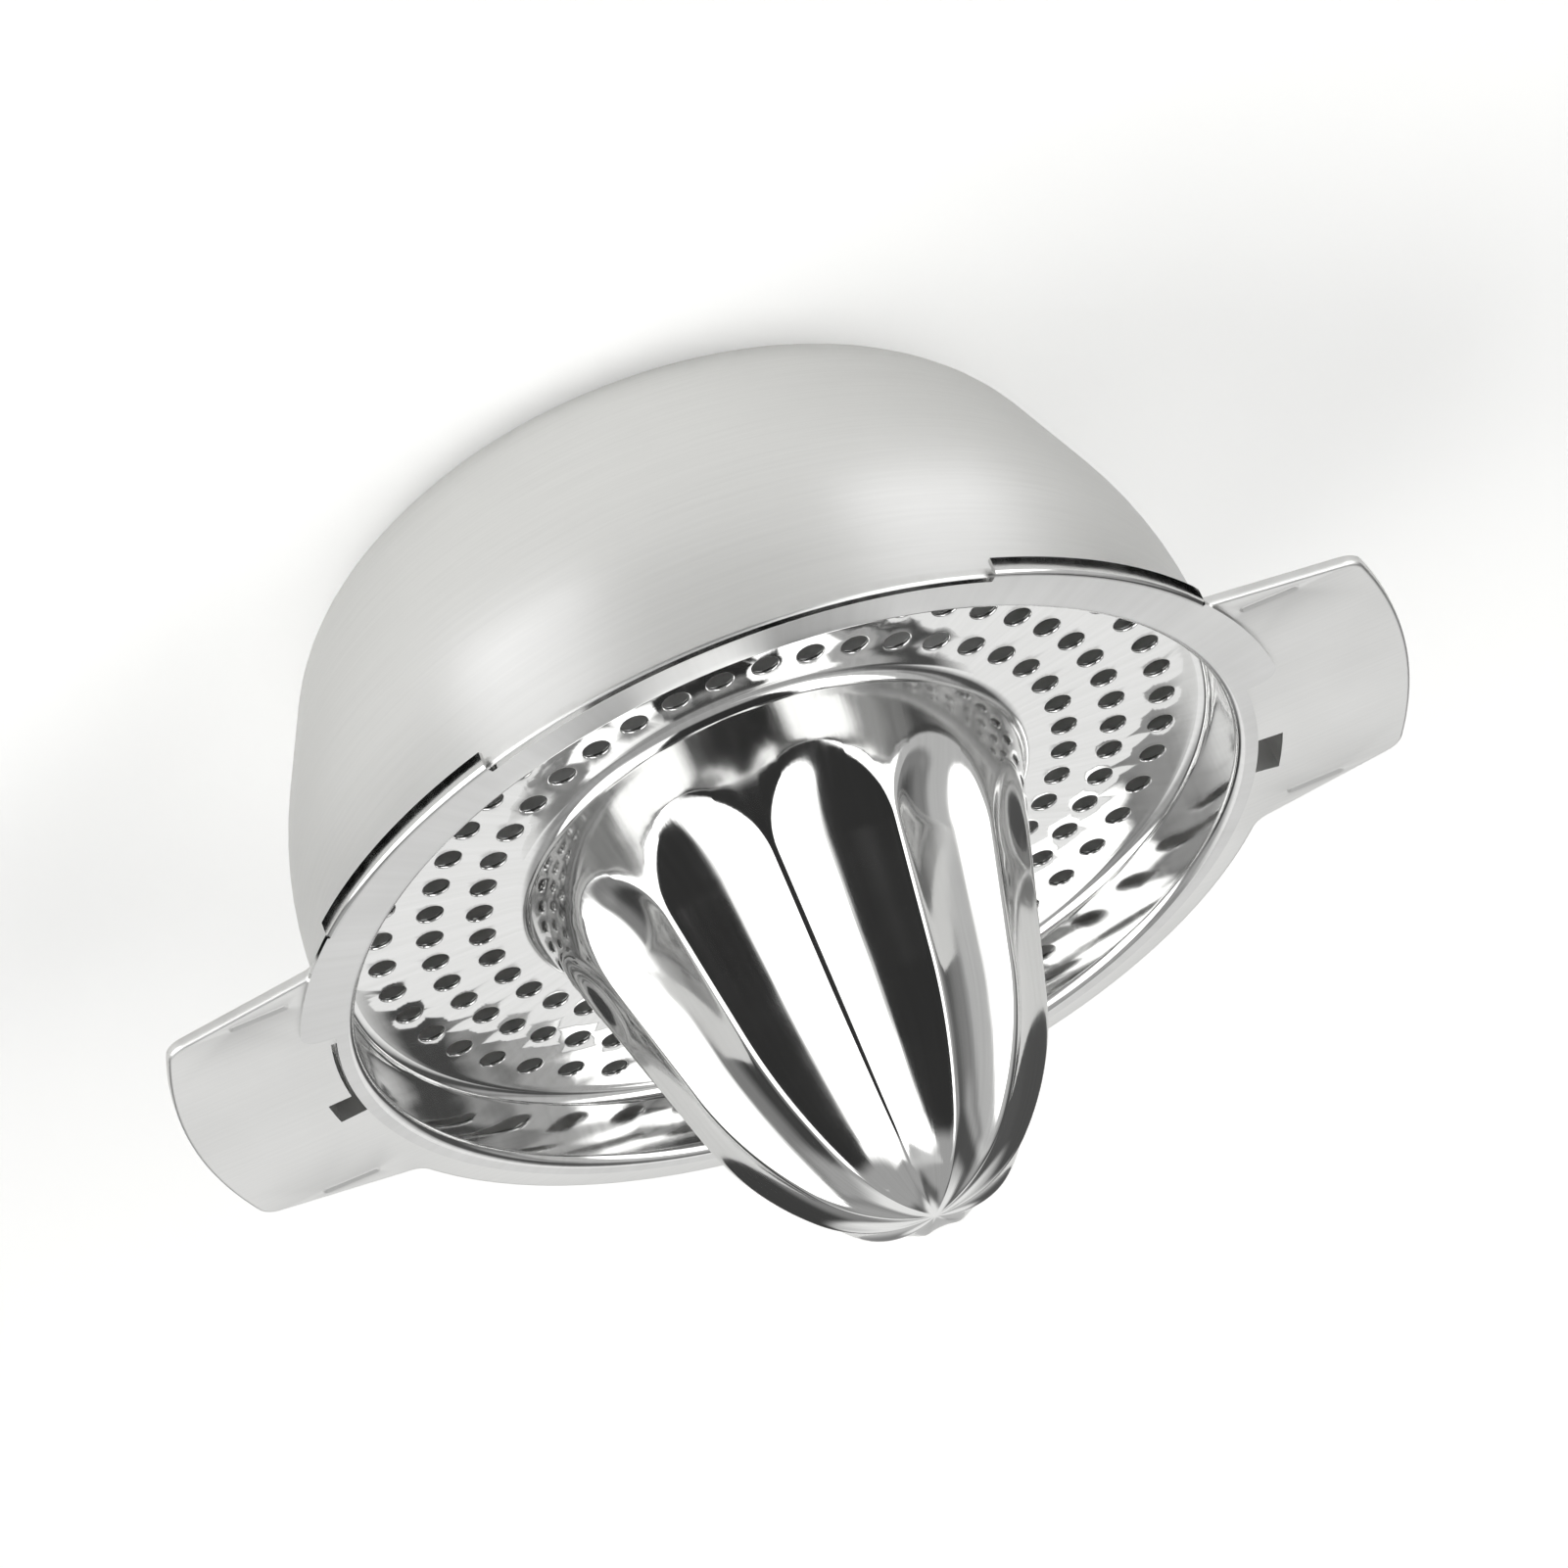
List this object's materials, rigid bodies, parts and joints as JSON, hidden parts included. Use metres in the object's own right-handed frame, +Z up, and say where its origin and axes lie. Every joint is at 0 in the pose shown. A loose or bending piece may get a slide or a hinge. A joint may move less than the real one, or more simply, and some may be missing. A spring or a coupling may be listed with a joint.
{
  "type": "handheld citrus squeezer",
  "caption": "Deep stainless juice bowl with flat side handles and a lift-out strainer whose fluted reaming cone rises from a perforated, collared floor.",
  "frame": {"origin": "centre of the bowl's flat base, on the surface that it stands on", "axes": "+X along the two handles, -Y towards the wide side of the strainer's rim, +Z up"},
  "size_m": [0.142, 0.1118, 0.0889],
  "materials": {
    "satin_steel": "satin stainless steel sheet",
    "polished_steel": "mirror-polished stainless steel sheet"
  },
  "bodies": {
    "bowl": {"bowl": "satin_steel"},
    "strainer": {"strainer": "polished_steel"}
  },
  "joints": [
    {"name": "strainer_lift", "type": "slide", "parent": "bowl", "child": "strainer", "axis": [0, 0, 1], "range_m": [0, 0.06]}
  ]
}
